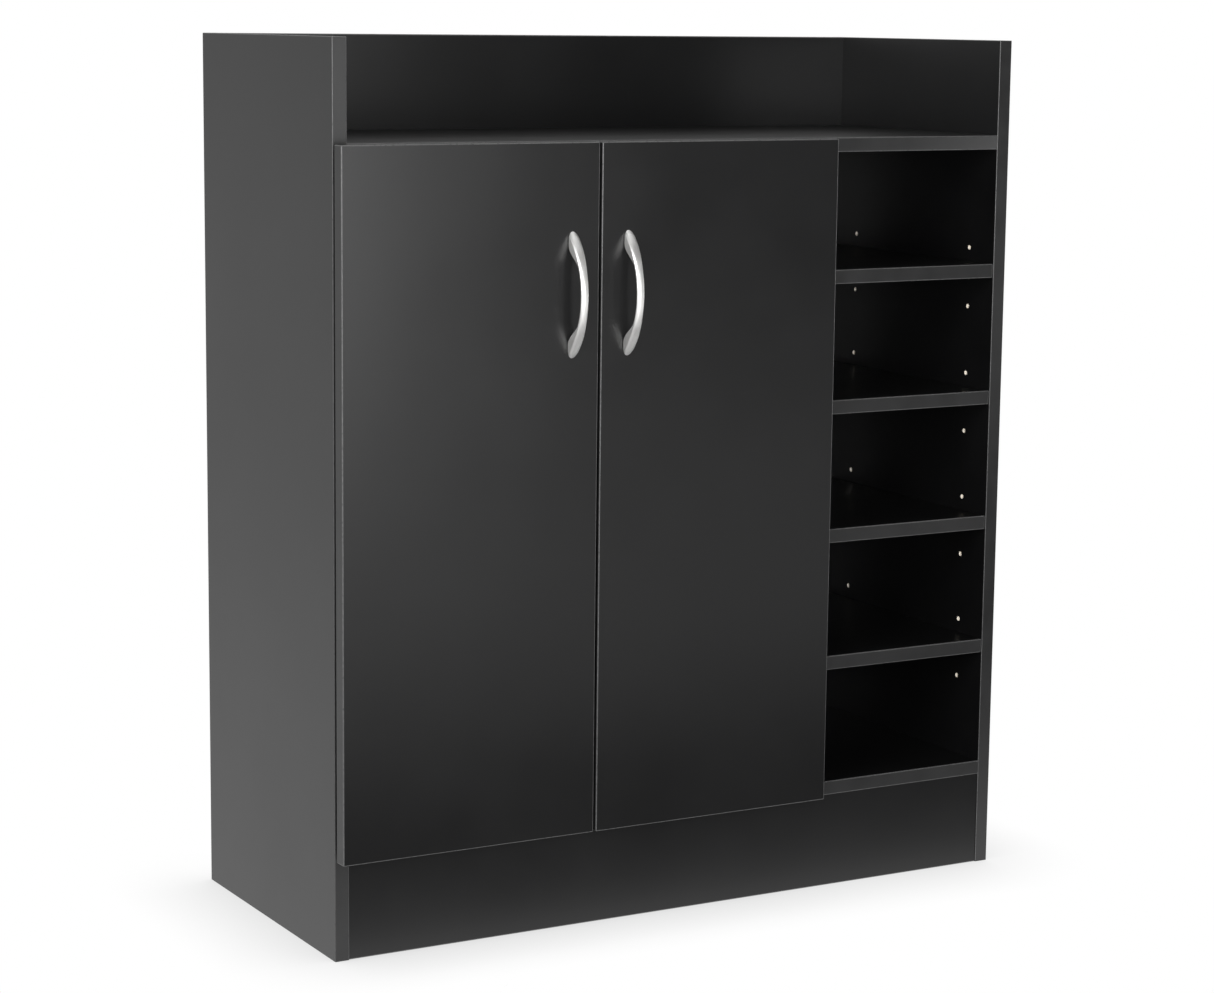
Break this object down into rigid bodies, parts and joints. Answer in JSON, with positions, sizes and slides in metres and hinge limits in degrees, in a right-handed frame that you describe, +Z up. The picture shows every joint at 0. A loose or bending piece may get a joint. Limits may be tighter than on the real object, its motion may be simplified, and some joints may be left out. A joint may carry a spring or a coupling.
{
  "type": "shoe cabinet",
  "caption": "Black shoe cabinet with a two-door bay, an open column of cubbies beside it and a shallow tray on top.",
  "frame": {"origin": "centre of the footprint on the ground, with the closed doors and their handles counted in the depth", "axes": "+Z up, +X to the right seen from the front, +Y to the back; the doors face -Y"},
  "size_m": [0.79, 0.37, 0.9],
  "materials": {
    "black_melamine": "satin, faint pressed grain, black edge banding",
    "hardboard": "matt brown fibreboard",
    "satin_nickel": "satin nickel plating",
    "plated_steel": "nickel plated",
    "zinc_alloy": "die-cast, dull",
    "beech": "turned, raw",
    "clear_bumper": "soft, slightly cloudy"
  },
  "bodies": {
    "cabinet": {"left_side_panel": "black_melamine", "right_side_panel": "black_melamine", "centre_divider": "black_melamine", "top_board": "black_melamine", "bottom_board": "black_melamine", "kickboard": "black_melamine", "tray_back_board": "black_melamine", "back_panel": "hardboard", "bay_shelf_1": "black_melamine", "bay_shelf_2": "black_melamine", "bay_shelf_3": "black_melamine", "column_shelf_1": "black_melamine", "column_shelf_2": "black_melamine", "column_shelf_3": "black_melamine", "column_shelf_4": "black_melamine", "bay_shelf_pins": "plated_steel", "column_shelf_pins": "plated_steel", "cam_locks": "zinc_alloy", "cam_bolts": "plated_steel", "dowels": "beech", "back_panel_screws": "plated_steel", "left_lower_hinge_plate": "zinc_alloy", "left_upper_hinge_plate": "zinc_alloy", "right_lower_hinge_plate": "zinc_alloy", "right_upper_hinge_plate": "zinc_alloy", "left_lower_hinge_arm": "plated_steel", "left_upper_hinge_arm": "plated_steel", "right_lower_hinge_arm": "plated_steel", "right_upper_hinge_arm": "plated_steel", "hinge_plate_screws": "plated_steel", "hinge_arm_screws": "plated_steel", "hinge_arm_pins": "plated_steel"},
    "left_links": {"left_lower_hinge_link": "zinc_alloy", "left_upper_hinge_link": "zinc_alloy"},
    "right_links": {"right_lower_hinge_link": "zinc_alloy", "right_upper_hinge_link": "zinc_alloy"},
    "left_door": {"left_door_panel": "black_melamine", "left_handle": "satin_nickel", "left_lower_hinge_cup": "plated_steel", "left_upper_hinge_cup": "plated_steel", "left_cup_pins": "plated_steel", "left_cup_screws": "plated_steel", "left_handle_screws": "plated_steel", "left_door_bumpers": "clear_bumper"},
    "right_door": {"right_door_panel": "black_melamine", "right_handle": "satin_nickel", "right_lower_hinge_cup": "plated_steel", "right_upper_hinge_cup": "plated_steel", "right_cup_pins": "plated_steel", "right_cup_screws": "plated_steel", "right_handle_screws": "plated_steel", "right_door_bumpers": "clear_bumper"}
  },
  "joints": [
    {"name": "left_link_swing", "type": "hinge", "parent": "cabinet", "child": "left_links", "pos_m": [-0.3602, -0.1435, 0.4505], "axis": [0, 0, -1], "range_deg": [-36.2, 0]},
    {"name": "left_door_swing", "type": "hinge", "parent": "left_links", "child": "left_door", "pos_m": [-0.3815, -0.144, 0.4505], "axis": [0, 0, -1], "range_deg": [0, 131.1]},
    {"name": "right_link_swing", "type": "hinge", "parent": "cabinet", "child": "right_links", "pos_m": [0.1302, -0.1435, 0.4505], "axis": [0, 0, 1], "range_deg": [-36.2, 0]},
    {"name": "right_door_swing", "type": "hinge", "parent": "right_links", "child": "right_door", "pos_m": [0.1515, -0.144, 0.4505], "axis": [0, 0, 1], "range_deg": [0, 131.1]}
  ],
  "couplings": [
    {"joint": "left_link_swing", "follows": "left_door_swing", "ratio": -0.27536},
    {"joint": "right_link_swing", "follows": "right_door_swing", "ratio": -0.27536}
  ]
}
